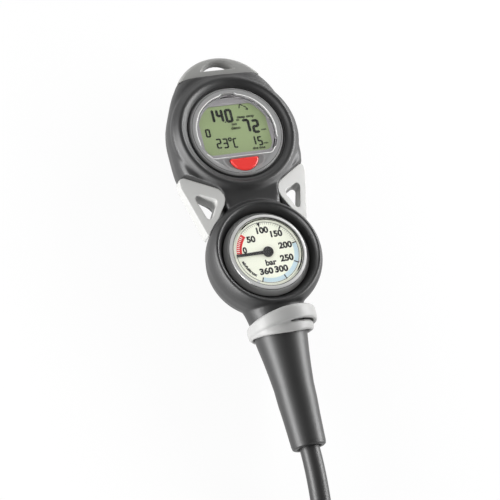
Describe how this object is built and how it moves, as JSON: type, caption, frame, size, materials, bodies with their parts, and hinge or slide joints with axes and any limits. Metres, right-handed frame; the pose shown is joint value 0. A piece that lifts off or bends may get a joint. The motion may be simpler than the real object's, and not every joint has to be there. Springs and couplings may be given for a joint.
{
  "type": "scuba gauge console",
  "caption": "Diving console: computer and pressure gauge in one rubber boot with hanging loop, side eyelets, neck ring and sleeve, on a swivelling high-pressure hose",
  "frame": {"origin": "on the boot's flat back, under the pressure gauge's centre", "axes": "+Z out of the two faces, +Y from the gauge towards the computer and the hanging loop, +X to the right as the faces are read"},
  "size_m": [0.1899, 0.4694, 0.0402],
  "materials": {
    "boot_rubber": "soft matt black rubber with a fine grain",
    "insert_rubber": "light grey satin rubber",
    "ring_rubber": "grey satin rubber",
    "hose_rubber": "dark grey rubber, smooth with soft highlights",
    "seal_rubber": "black nitrile rubber",
    "door_seal_rubber": "orange silicone rubber",
    "chrome_metal": "polished chrome plate",
    "steel": "fine turned stainless steel",
    "brass_metal": "machined brass",
    "dial_paint": "cream luminous paint with printed scale",
    "needle_paint": "matt black paint",
    "clear_lens": "clear polycarbonate",
    "plug_plastic": "red plastic plug",
    "case_plastic": "black moulded plastic",
    "bezel_plastic": "satin silver-grey moulded plastic",
    "mask_plastic": "mauve-grey printed mask",
    "lcd_glass": "olive liquid-crystal glass with dark segments",
    "guide_plastic": "milky light guide",
    "board_green": "green solder mask",
    "button_red": "bright red gloss plastic"
  },
  "bodies": {
    "console": {"boot": "boot_rubber", "top_loop": "insert_rubber", "eyelet_left": "insert_rubber", "eyelet_right": "insert_rubber", "neck_ring": "ring_rubber", "hose_sleeve": "hose_rubber", "gauge_case": "brass_metal", "gauge_bezel": "chrome_metal", "gauge_lens": "clear_lens", "lens_seal": "seal_rubber", "gauge_dial": "dial_paint", "dial_screws": "steel", "stem_block": "brass_metal", "bourdon_tube": "brass_metal", "movement_frame": "brass_metal", "movement_screws": "steel", "blowout_plug": "plug_plastic", "computer_case": "case_plastic", "computer_bezel": "bezel_plastic", "display_window": "clear_lens", "display_mask": "mask_plastic", "lcd_panel": "lcd_glass", "backlight_guide": "guide_plastic", "circuit_board": "board_green", "buzzer": "case_plastic", "battery": "steel", "battery_contact": "brass_metal", "pressure_sensor": "steel", "case_seal": "seal_rubber", "case_screws": "steel", "tact_switch": "case_plastic", "button_spring": "steel", "button_seal": "seal_rubber", "swivel_nut": "chrome_metal", "swivel_spool": "brass_metal", "spool_seals": "seal_rubber"},
    "pointer": {"needle": "needle_paint", "pinion_arbor": "steel", "hairspring": "brass_metal"},
    "sector": {"sector_gear": "brass_metal"},
    "link": {"link_rod": "steel"},
    "button": {"button_cap": "button_red", "button_stem": "steel", "button_clip": "steel"},
    "door": {"battery_door": "case_plastic", "door_seal": "door_seal_rubber"},
    "hose": {"hose_insert": "steel", "gauge_ferrule": "chrome_metal", "hose_root": "hose_rubber", "hose_stretch": "hose_rubber", "hose_coil": "hose_rubber", "stage_ferrule": "chrome_metal", "stage_fitting": "chrome_metal", "stage_seal": "seal_rubber"}
  },
  "joints": [
    {"name": "button_press", "type": "slide", "parent": "console", "child": "button", "axis": [0, 0, -1], "range_m": [0, 0.0008], "stiffness_N_per_m": 400, "springref_m": -0.001, "deforming": ["button_spring"]},
    {"name": "sector_swing", "type": "hinge", "parent": "console", "child": "sector", "pos_m": [-0.006, -0.01039, 0.021], "axis": [0, 0, 1], "range_deg": [0, 41.5], "stiffness_Nm_per_rad": 0.0002},
    {"name": "pointer_spin", "type": "hinge", "parent": "console", "child": "pointer", "pos_m": [0, 0, 0.036], "axis": [0, 0, 1], "range_deg": [-290.5, 0]},
    {"name": "link_pivot", "type": "hinge", "parent": "sector", "child": "link", "pos_m": [-0.009, -0.00578, 0.023], "axis": [0, 0, 1], "range_deg": [-41.5, 0]},
    {"name": "battery_door_turn", "type": "hinge", "parent": "console", "child": "door", "pos_m": [0, 0.085, 0.007], "axis": [0, 0, -1], "range_deg": [0, 60]},
    {"name": "hose_swivel", "type": "hinge", "parent": "console", "child": "hose", "pos_m": [0, -0.044, 0.0205], "axis": [0, -1, 0], "continuous": true}
  ],
  "couplings": [
    {"joint": "pointer_spin", "follows": "sector_swing", "ratio": -7},
    {"joint": "link_pivot", "follows": "sector_swing", "ratio": -1}
  ]
}
